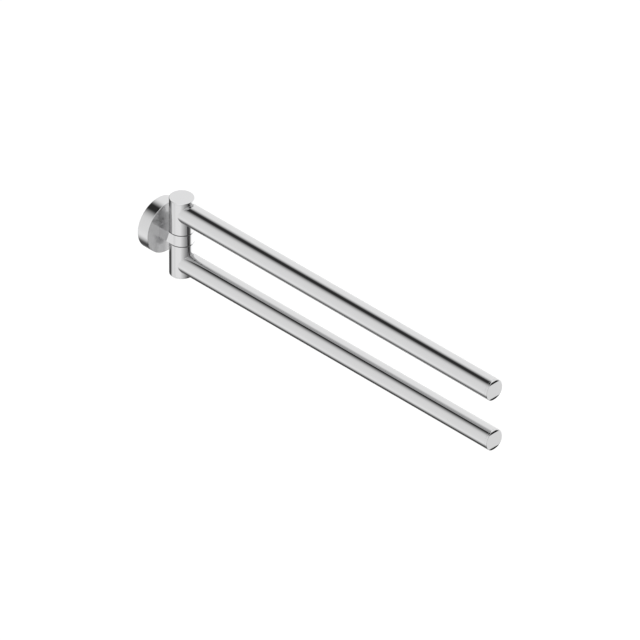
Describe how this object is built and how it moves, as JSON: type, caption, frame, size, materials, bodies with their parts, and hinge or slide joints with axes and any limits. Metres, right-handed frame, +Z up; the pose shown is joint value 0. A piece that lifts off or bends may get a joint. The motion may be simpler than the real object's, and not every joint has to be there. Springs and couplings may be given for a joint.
{
  "type": "swing arm towel bar",
  "caption": "Polished metal swing arm towel bar: a round wall rosette carries a short round column, about which long tubular bars turn one above the other.",
  "frame": {"origin": "centre of the rosette's back face, on the wall", "axes": "+Y points into the wall, so the bars reach out along -Y; +Z is up, along the pivot axis; +X is to the right for someone facing the wall"},
  "size_m": [0.056, 0.4618, 0.089],
  "materials": {
    "polished_steel": "polished, neutral grey, near mirror",
    "bare_steel": "turned, plain",
    "screw_steel": "dark hardened steel",
    "spring_steel": "dull blued spring steel",
    "bush_bronze": "plain sintered bronze",
    "dark_acetal": "matt dark slide washer"
  },
  "bodies": {
    "bracket": {"wall_plate": "bare_steel", "rosette": "polished_steel", "rosette_set_screw": "screw_steel", "collar": "polished_steel", "collar_screws": "screw_steel", "collar_screw_washers": "bare_steel", "pivot_pin": "bare_steel", "pin_lock_screw": "screw_steel", "upper_friction_washer": "dark_acetal", "upper_thrust_washer": "bare_steel", "upper_disc_springs": "spring_steel", "upper_pivot_nut": "bare_steel", "lower_friction_washer": "dark_acetal", "lower_thrust_washer": "bare_steel", "lower_disc_springs": "spring_steel", "lower_pivot_nut": "bare_steel"},
    "upper_arm": {"upper_knuckle": "polished_steel", "upper_inner_bush": "bush_bronze", "upper_outer_bush": "bush_bronze", "upper_knuckle_cap": "polished_steel", "upper_bar": "polished_steel", "upper_end_cap": "polished_steel"},
    "lower_arm": {"lower_knuckle": "polished_steel", "lower_inner_bush": "bush_bronze", "lower_outer_bush": "bush_bronze", "lower_knuckle_cap": "polished_steel", "lower_bar": "polished_steel", "lower_end_cap": "polished_steel"}
  },
  "joints": [
    {"name": "upper_arm_swing", "type": "hinge", "parent": "bracket", "child": "upper_arm", "pos_m": [0, -0.0328, 0], "axis": [0, 0, 1], "range_deg": [-90, 90]},
    {"name": "lower_arm_swing", "type": "hinge", "parent": "bracket", "child": "lower_arm", "pos_m": [0, -0.0328, 0], "axis": [0, 0, 1], "range_deg": [-90, 90]}
  ]
}
